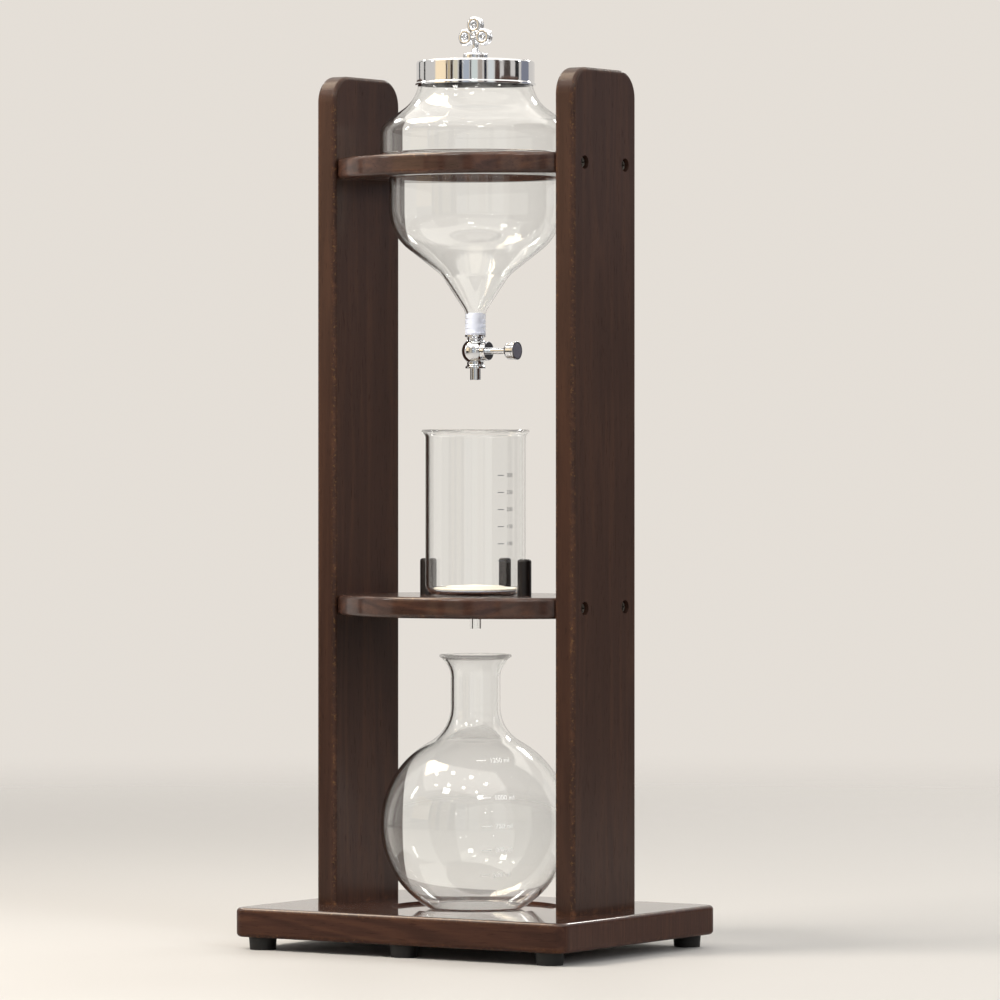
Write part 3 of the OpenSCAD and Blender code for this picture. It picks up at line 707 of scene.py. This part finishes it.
class TOWER_OT_water_tank(TowerOperator):
    """Blows the water tank"""
    bl_idname = "tower.water_tank"
    bl_label = "Water Tank"

    def execute(self, context):
        sizes = self.sizes
        lowest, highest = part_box("water_tank")
        shoulder_slope, seat_slope, funnel_slope, throat_slope = 36, 45, 38.3, 56.82
        bulge_height, body_height, outlet_length = 20.3 * MM, 50.2 * MM, 15.0 * MM
        lip = 0.62 * sizes.wall
        outlet = lowest.z + outlet_length
        throat = outlet + rise(sizes.throat - sizes.outlet, throat_slope)
        funnel = throat + rise(sizes.body - sizes.throat, funnel_slope)
        seat = funnel + body_height
        low = seat + rise(sizes.bulge - sizes.body, seat_slope)
        high = low + bulge_height
        neck = high + rise(sizes.bulge - sizes.neck, shoulder_slope)
        corners = [
            (sizes.neck, highest.z - lip, 0),
            (sizes.neck, neck, 28 * MM),
            (sizes.bulge, high, 13 * MM),
            (sizes.bulge, low, 3.5 * MM),
            (sizes.body, seat, 3.5 * MM),
            (sizes.body, funnel, 38 * MM),
            (sizes.throat, throat, 20 * MM),
            (sizes.outlet, outlet, 8 * MM),
            (sizes.outlet, lowest.z, 0),
        ]
        tank = blow("tank_glass", corners, lip, sizes.wall, context.scene["tower_clear"])[0]
        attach(tank, "tank")
        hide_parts("water_tank")
        return {"FINISHED"}


class TOWER_OT_chamber(TowerOperator):
    """Blows the coffee chamber and prints its faint marks"""
    bl_idname = "tower.chamber"
    bl_label = "Coffee Chamber"

    def execute(self, context):
        sizes = self.sizes
        lowest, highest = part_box("coffee_chamber")
        lip, flare_height, seat_gap = 0.6 * sizes.wall, 4.6 * MM, 0.3 * MM
        top = highest.z - seat_gap
        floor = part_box("chamber_shelf")[1].z + seat_gap
        corners = [
            (sizes.chamber_rim - 0.6 * lip, top - 1.6 * lip, 0),
            (sizes.chamber, top - flare_height, 4 * MM),
            (sizes.chamber, floor, 7 * MM),
            (sizes.drip_tube, floor, 1.6 * MM),
            (sizes.drip_tube, lowest.z, 0),
        ]
        chamber, outline = blow("chamber_glass", corners, lip, sizes.wall,
                                context.scene["tower_clear"])
        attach(chamber, "chamber")
        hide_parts("coffee_chamber")

        marks = []
        tick, line, size = 5 * MM, 0.5 * MM, 3.8 * MM
        first, step, azimuth = 12.5 * MM, 12.15 * MM, math.radians(-19)
        for count in range(1, 7):
            z = floor + first + count * step
            marks.append((tick_mesh(tick, line), azimuth - tick / sizes.chamber, z))
            marks.append((figures_mesh(f"{50 * count}", size), azimuth, z))
        print_scale("chamber_scale", marks, outline, context.scene["tower_grey_enamel"], "chamber")
        return {"FINISHED"}


class TOWER_OT_flask(TowerOperator):
    """Blows the flask and prints its marks from 250 to 1250 millilitres"""
    bl_idname = "tower.flask"
    bl_label = "Flask"

    def execute(self, context):
        sizes = self.sizes
        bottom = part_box("flask")[0].z
        turn, neck_height, flare_slope = math.radians(60), 46.4 * MM, 54.7
        middle = bottom + (sizes.flask - sizes.flask_base * math.cos(turn)) / math.sin(turn)
        reach = sizes.flask * math.tan(turn / 2)
        shoulder = middle + (sizes.flask - sizes.flask_neck * math.cos(turn)) / math.sin(turn)
        rim_corner = shoulder + neck_height
        top = rim_corner + sizes.flask_flare / math.tan(math.radians(flare_slope))
        corners = [
            (sizes.flask_neck + sizes.flask_flare, top, 0),
            (sizes.flask_neck, rim_corner, 17.5 * MM),
            (sizes.flask_neck, shoulder, 28 * MM),
            (sizes.flask, middle + reach, sizes.flask),
            (sizes.flask, middle - reach, sizes.flask),
            (sizes.flask_base, bottom, 7 * MM),
            (0, bottom, 0),
        ]
        flask, outline = blow("flask_glass", corners, 0.6 * sizes.wall, sizes.wall,
                              context.scene["tower_clear"])
        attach(flask, "flask")
        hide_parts("flask")

        tick, line, size, offset = 7 * MM, 0.5 * MM, 4.6 * MM, 6 * MM
        azimuth = math.radians(-45)
        marks = []
        heights = {1250: 136.4, 1000: 111.0, 750: 91.1, 500: 74.1, 250: 56.3}
        for amount, height in heights.items():
            z = height * MM
            marks.append((tick_mesh(tick, line), azimuth - offset / radius_at(outline, z), z))
            marks.append((figures_mesh(f"{amount} ml", size), azimuth, z))
        print_scale("flask_scale", marks, outline, context.scene["tower_enamel"], "flask")
        return {"FINISHED"}


class TOWER_OT_valve(TowerOperator):
    """Polishes the needle valve and fits the knob's grey face"""
    bl_idname = "tower.valve"
    bl_label = "Needle Valve"

    def execute(self, context):
        chrome = context.scene["tower_chrome"]
        dress(["valve_body", "gland_nut", "needle_stem", "valve_knob", "nozzle_nut",
               "outlet_nozzle"], chrome)
        white = context.scene["tower_silicone"]
        dress(["packing_ring"], white)

        # The sleeve reaches a hair into the wall, so that it fills the tube as the eye sees it
        lowest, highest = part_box("outlet_bush")
        tube, bore, hair, groove = self.sizes.outlet, 3.25 * MM, 0.05 * MM, 0.18 * MM
        sleeve = tube - self.sizes.wall + hair
        tube_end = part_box("water_tank")[0].z
        flange = tube_end - hair
        corners = [(bore, lowest.z, 0), (tube, lowest.z, 0.4 * MM), (tube, flange, 0.4 * MM),
                   (sleeve, flange, 0)]
        for share in (0.2, 0.45, 0.7):
            z = tube_end + share * (highest.z - tube_end)
            corners += [(sleeve, z - groove, 0), (sleeve - groove, z, 0), (sleeve, z + groove, 0)]
        corners += [(sleeve, highest.z, 0.5 * MM), (bore, highest.z, 0)]
        bush = turned("bush_sleeve", rounded(corners), white)
        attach(bush, "tank")
        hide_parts("outlet_bush")

        lowest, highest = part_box("valve_knob")
        middle = (lowest.z + highest.z) / 2
        radius, thickness, crown, recess = 5.45 * MM, 0.42 * MM, 0.15 * MM, 0.5 * MM
        outline = rounded([(0, 0, 0), (radius, 0, 0), (radius, thickness, 0.15 * MM),
                           (0, thickness + crown, 0)])
        grey = moulded("knob_grey", list(self.colours.knob_face), 0.42, 1600.0)
        face = turned("knob_face", outline, grey, 64)
        for vertex in face.data.vertices:
            x, y, z = vertex.co
            vertex.co = (highest.x - recess + z, y, middle - x)
        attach(face, "knob")
        return {"FINISHED"}


class TOWER_OT_lid(TowerOperator):
    """Polishes the lid and casts its trefoil"""
    bl_idname = "tower.lid"
    bl_label = "Lid"

    def execute(self, context):
        chrome = context.scene["tower_chrome"]
        dress(["lid_cap", "lid_collar"], chrome)
        dress(["lid_gasket"], context.scene["tower_silicone"])

        lowest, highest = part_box("lid_ornament")
        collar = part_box("lid_collar")[1].z
        wire, leaf, half_gap, pearl, heart = 2.15 * MM, 4.1 * MM, 1.05 * MM, 1.5 * MM, 4.2 * MM
        spread, drop, pearl_place = 7.3 * MM, 14.9 * MM, 2.1 * MM
        low, high = highest.z - drop, highest.z - leaf - wire
        middle = (2 * low + high) / 3
        parts = []
        for x, z in ((-spread, low), (spread, low), (0, high)):
            for side in (-1, 1):
                parts.append(laid(ring("leaf", leaf, wire, chrome), (x, side * half_gap, z)))
            parts.append(laid(ball("pearl", pearl, chrome), (x, 0, z), 1.7))
        parts.append(laid(ball("heart", heart, chrome), (0, 0, middle), 0.72))
        for side in (-1, 1):
            parts.append(laid(ball("pearl", pearl, chrome), (0, side * pearl_place, middle)))
        stem = rounded([(0, lowest.z, 0), (2 * MM, lowest.z, 0), (2 * MM, collar, 0.5 * MM),
                        (3.7 * MM, collar, 0.3 * MM), (3.5 * MM, collar + 0.8 * MM, 0.4 * MM),
                        (2.1 * MM, collar + 3.4 * MM, 3 * MM), (2.3 * MM, collar + 6.5 * MM, 3 * MM),
                        (3.6 * MM, low, 0), (0, low, 0)])
        parts.append(turned("stem", stem, chrome, SMALL_SIDES))
        trefoil = cast("lid_trefoil", parts, 0.3 * MM, 6, chrome)
        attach(trefoil, "lid")
        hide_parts("lid_ornament")
        return {"FINISHED"}


class TOWER_OT_filter(TowerOperator):
    """Domed porous stone in a thin flange, and its gasket"""
    bl_idname = "tower.filter"
    bl_label = "Filter"

    def execute(self, context):
        dress(["filter_gasket"], context.scene["tower_silicone"])
        lowest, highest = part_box("filter_disc")
        radius, crown = highest.x, 0.9 * MM
        flange = lowest.z + 1.1 * MM
        outline = rounded([(0, lowest.z, 0), (radius, lowest.z, 0.3 * MM), (radius, flange, 0.4 * MM),
                           (0.76 * radius, flange, 0.8 * MM),
                           (0.66 * radius, highest.z - crown, 4 * MM), (0, highest.z, 0)])
        stone = turned("filter_stone", outline, porous_ceramic(self.colours))
        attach(stone, "filter")
        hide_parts("filter_disc")
        return {"FINISHED"}


class TOWER_OT_shared_finishes(TowerOperator):
    """Makes the finishes that several pieces share"""
    bl_idname = "tower.shared_finishes"
    bl_label = "Shared Finishes"

    def execute(self, context):
        scene = context.scene
        bead_height = 1.2 * MM
        rims = [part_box(node)[1].z - bead_height for node in ("flask", "coffee_chamber")]
        scene["tower_clear"] = clear_glass(self.colours, rims)
        scene["tower_chrome"] = polished_chrome(self.colours)
        scene["tower_enamel"] = fired_enamel("white_enamel", list(self.colours.enamel), 0.3)
        scene["tower_grey_enamel"] = fired_enamel("grey_enamel", list(self.colours.grey_enamel), 0.0)
        scene["tower_silicone"] = moulded("white_silicone", list(self.colours.silicone), 0.42,
                                          800.0, 0.1)
        return {"FINISHED"}


def area_light(name, place, target, width, height, power, tone):
    """A soft lamp that doesn't show in metal or glass."""
    light = bpy.data.lights.new(name, "AREA")
    light.shape = "RECTANGLE"
    light.size = width
    light.size_y = height
    light.energy = power
    light.color = tone
    lamp = placed(name, light)
    lamp.location = place
    lamp.rotation_euler = (Vector(target) - Vector(place)).to_track_quat("-Z", "Y").to_euler()
    lamp.visible_glossy = False
    lamp.visible_transmission = False


CARD_REACH = 3.4
CEILING = 3.1
LOW, HIGH = -0.6, 1.9
# Tall cards: angle from the camera in degrees, width, lowest and highest point, linear colour
CARDS = [
    (-140, 0.4, LOW, HIGH, (0.1, 0.1, 0.1)),
    (-117, 0.3, LOW, HIGH, (0.02, 0.02, 0.02)),
    (-72, 1.5, LOW, 0.5, (0.05, 0.045, 0.04)),
    (-72, 1.5, 0.5, HIGH, (1.3, 1.03, 0.68)),
    (-58, 0.16, LOW, HIGH, (0.08, 0.04, 0.02)),
    (-53, 0.3, LOW, HIGH, (0.7, 0.54, 0.32)),
    (-47, 0.3, LOW, HIGH, (0.04, 0.02, 0.012)),
    (-39, 0.5, LOW, HIGH, (0.85, 0.76, 0.58)),
    (-29, 0.4, LOW, HIGH, (0.01, 0.011, 0.02)),
    (-18, 0.7, LOW, HIGH, (0.5, 0.54, 0.6)),
    (-9.5, 0.14, LOW, HIGH, (0.03, 0.03, 0.04)),
    (-2, 0.65, LOW, HIGH, (0.8, 0.85, 0.8)),
    (9, 0.5, LOW, HIGH, (0.5, 0.42, 0.36)),
    (19, 0.3, LOW, HIGH, (0.02, 0.02, 0.03)),
    (30, 0.7, LOW, HIGH, (0.85, 0.87, 0.85)),
    (43, 0.6, LOW, HIGH, (0.1, 0.06, 0.05)),
    (64, 0.9, LOW, HIGH, (0.09, 0.07, 0.06)),
    (88, 0.6, LOW, HIGH, (0.03, 0.03, 0.03)),
    (113, 1.6, LOW, 0.6, (0.05, 0.045, 0.045)),
    (113, 1.6, 0.6, HIGH, (0.26, 0.27, 0.32)),
]
# Bright panes: angle from the camera and angle over the horizon in degrees, width, height
PANES = [
    (7, 33, 0.4, 0.3), (-46, 38, 0.5, 0.36), (52, 30, 0.3, 0.6), (-24, 12, 0.08, 0.08),
    (12, 14, 0.1, 0.08), (20, 15, 0.08, 0.1), (150, 30, 0.6, 0.3), (-150, 34, 0.6, 0.3),
    (95, 20, 0.12, 0.7), (-95, 24, 0.12, 0.7),
]
# Lamps on the ceiling: middle, half size, linear colour, strength
CEILING_LAMPS = [((x, y), 0.12, (1.0, 0.97, 0.9), 22.0)
                 for y in (-1.4, -2.6) for x in (-1.8, -0.6, 0.6, 1.8)]
SKYLIGHT = ((-2.0, -0.3), 0.9, (1.0, 0.86, 0.68), 9.0)


def gloss_card(name, middle, side, top, shade, strength=1.0, through_glass=False):
    """A card with those half sides that shows only in reflections, or also through glass."""
    finish = Finish(name, Base_Color=(0, 0, 0), Roughness=1.0, Specular_IOR_Level=0.0,
                    Emission_Color=shade, Emission_Strength=strength)
    corners = [middle + i * side + j * top for i, j in ((-1, -1), (-1, 1), (1, 1), (1, -1))]
    mesh = bpy.data.meshes.new(name)
    mesh.from_pydata(corners, [], [(0, 1, 2, 3)])
    mesh.materials.append(finish.material)
    card = placed(name, mesh)
    card.visible_camera = False
    card.visible_diffuse = False
    card.visible_transmission = through_glass
    card.visible_shadow = False


def ceiling_card(name, place, half_size, shade, strength=1.0):
    """A square card that hangs over the tower and faces down."""
    gloss_card(name, Vector(place), Vector((half_size, 0, 0)), Vector((0, half_size, 0)), shade,
               strength, True)


def tall_cards(azimuth):
    """Tall light and dark cards round the tower."""
    for number, (angle, width, low, high, shade) in enumerate(CARDS, start=1):
        turn = azimuth + math.radians(angle)
        middle = Vector((CARD_REACH * math.sin(turn), -CARD_REACH * math.cos(turn), (low + high) / 2))
        side = Vector((math.cos(turn), math.sin(turn), 0)) * width / 2
        gloss_card(f"card_{number}", middle, side, Vector((0, 0, (high - low) / 2)), shade)


def ceiling_cards():
    """A soft ceiling, two rows of small lamps under it and a warm skylight."""
    below = 0.02
    ceiling_card("ceiling", (0, 0, CEILING), 3.2, (1.7, 1.62, 1.5))
    for number, (place, half_size, shade, strength) in enumerate(CEILING_LAMPS, start=1):
        ceiling_card(f"ceiling_lamp_{number}", (*place, CEILING - below), half_size, shade, strength)
    place, half_size, shade, strength = SKYLIGHT
    ceiling_card("skylight", (*place, CEILING - below), half_size, shade, strength)


def bright_panes(azimuth):
    """Bright panes that sparkle in the glass."""
    axis_height = 0.35
    for number, (angle, over_horizon, width, height) in enumerate(PANES, start=1):
        turn, lift = azimuth + math.radians(angle), math.radians(over_horizon)
        facing = Vector((math.sin(turn) * math.cos(lift), -math.cos(turn) * math.cos(lift),
                         math.sin(lift)))
        side = Vector((math.cos(turn), math.sin(turn), 0))
        middle = CARD_REACH * facing + Vector((0, 0, axis_height))
        gloss_card(f"pane_{number}", middle, side * width / 2, side.cross(facing) * height / 2,
                   (1.0, 0.98, 0.94), 20.0, True)


def pale_floor():
    """Round pale floor that fades into the pale room and throws little light back up."""
    radius, sides = 7.0, 96
    fade_start, fade_end = 0.9, 2.8
    finish = Finish("pale_floor", Roughness=0.55, Specular_IOR_Level=0.25)
    finish.set("Base Color", finish.mix(finish.seen_directly(), (0.3, 0.27, 0.25),
                                        (0.74, 0.715, 0.68)))
    from_middle = finish.node("VectorMath", {"operation": "LENGTH"},
                              finish.node("TexCoord", out="Object"), out="Value")
    floor_shader = Flow(finish, finish.shader.outputs["BSDF"])
    surface = finish.node("MixShader", None, from_middle.fade(fade_start, fade_end), floor_shader,
                          finish.node("BsdfTransparent"))
    finish.feed(finish.tree.nodes["Material Output"].inputs["Surface"], surface)
    mesh = bpy.data.meshes.new("studio_floor")
    shape = bmesh.new()
    bmesh.ops.create_circle(shape, cap_ends=True, segments=sides, radius=radius)
    shape.to_mesh(mesh)
    shape.free()
    mesh.materials.append(finish.material)
    floor = placed("studio_floor", mesh)


def pale_room(ambient):
    """World that camera, gloss and glass see as a pale backdrop, and that lights softly."""
    world = bpy.data.worlds.new("pale_room")
    world.use_nodes = True
    room = Nodes(world.node_tree)
    soft = room.node("Background", None, (1.0, 0.985, 0.96), ambient)
    backdrop = room.node("Background", None, (0.78, 0.735, 0.68), 1.0)
    surface = room.node("MixShader", None, room.seen_directly(), soft, backdrop)
    room.feed(room.tree.nodes["World Output"].inputs["Surface"], surface)
    bpy.context.scene.world = world


class TOWER_OT_stage(TowerOperator):
    """Camera, pale floor and soft light"""
    bl_idname = "tower.stage"
    bl_label = "Stage"

    def execute(self, context):
        studio = context.scene.tower_studio
        picture = 1000.0
        focal = 6000.0
        horizon_row = 450.0
        axis_column = 475.5
        sensor = 36.0
        camera = bpy.data.cameras.new("camera")
        camera.sensor_width = sensor
        camera.lens = sensor * focal / picture
        camera.shift_x = (picture / 2 - axis_column) / picture
        camera.shift_y = (horizon_row - picture / 2) / picture
        camera.clip_end = 60.0
        eye = placed("camera", camera)
        eye.location = (studio.distance * math.sin(studio.azimuth),
                        -studio.distance * math.cos(studio.azimuth), studio.height)
        eye.rotation_euler = (math.pi / 2, 0, studio.azimuth)
        context.scene.camera = eye

        middle = (0, 0, 0.35)
        warm, cool = (1.0, 0.93, 0.84), (0.9, 0.95, 1.0)
        area_light("key", (-0.6, -0.85, 1.32), middle, 0.55, 0.55, studio.key, warm)
        area_light("fill", (2.3, -0.9, 1.1), middle, 0.7, 1.3, studio.fill, cool)
        area_light("back", (0.4, 2.2, 1.6), middle, 1.6, 1.2, studio.fill, (1, 1, 1))
        pale_floor()
        pale_room(studio.ambient)
        tall_cards(studio.azimuth)
        ceiling_cards()
        bright_panes(studio.azimuth)
        context.scene.view_settings.view_transform = "Standard"
        return {"FINISHED"}


class TOWER_PT_panel(bpy.types.Panel):
    """Lists the tower's steps in the sidebar"""
    bl_label = "Coffee Tower"
    bl_idname = "TOWER_PT_panel"
    bl_space_type = "VIEW_3D"
    bl_region_type = "UI"
    bl_category = "Coffee Tower"

    def draw(self, context):
        for step in STEPS:
            self.layout.operator(step.bl_idname)
        for group in ("tower_glass", "tower_colours", "tower_studio"):
            settings = getattr(context.scene, group)
            for name in settings.__annotations__:
                self.layout.prop(settings, name)


STEPS = (TOWER_OT_shared_finishes, TOWER_OT_stage, TOWER_OT_boards, TOWER_OT_fasteners,
         TOWER_OT_feet_and_posts, TOWER_OT_water_tank, TOWER_OT_valve, TOWER_OT_lid,
         TOWER_OT_chamber, TOWER_OT_filter, TOWER_OT_flask)
GROUPS = {"tower_glass": GlassSizes, "tower_colours": TowerColours, "tower_studio": StudioSettings}


def register():
    for name, group in GROUPS.items():
        bpy.utils.register_class(group)
        setattr(bpy.types.Scene, name, PointerProperty(type=group))
    for step in STEPS:
        bpy.utils.register_class(step)
    bpy.utils.register_class(TOWER_PT_panel)


def unregister():
    bpy.utils.unregister_class(TOWER_PT_panel)
    for step in reversed(STEPS):
        bpy.utils.unregister_class(step)
    for name, group in GROUPS.items():
        delattr(bpy.types.Scene, name)
        bpy.utils.unregister_class(group)


def main():
    register()
    for step in STEPS:
        group, action = step.bl_idname.split(".")
        getattr(getattr(bpy.ops, group), action)()


if __name__ == "__main__":
    main()
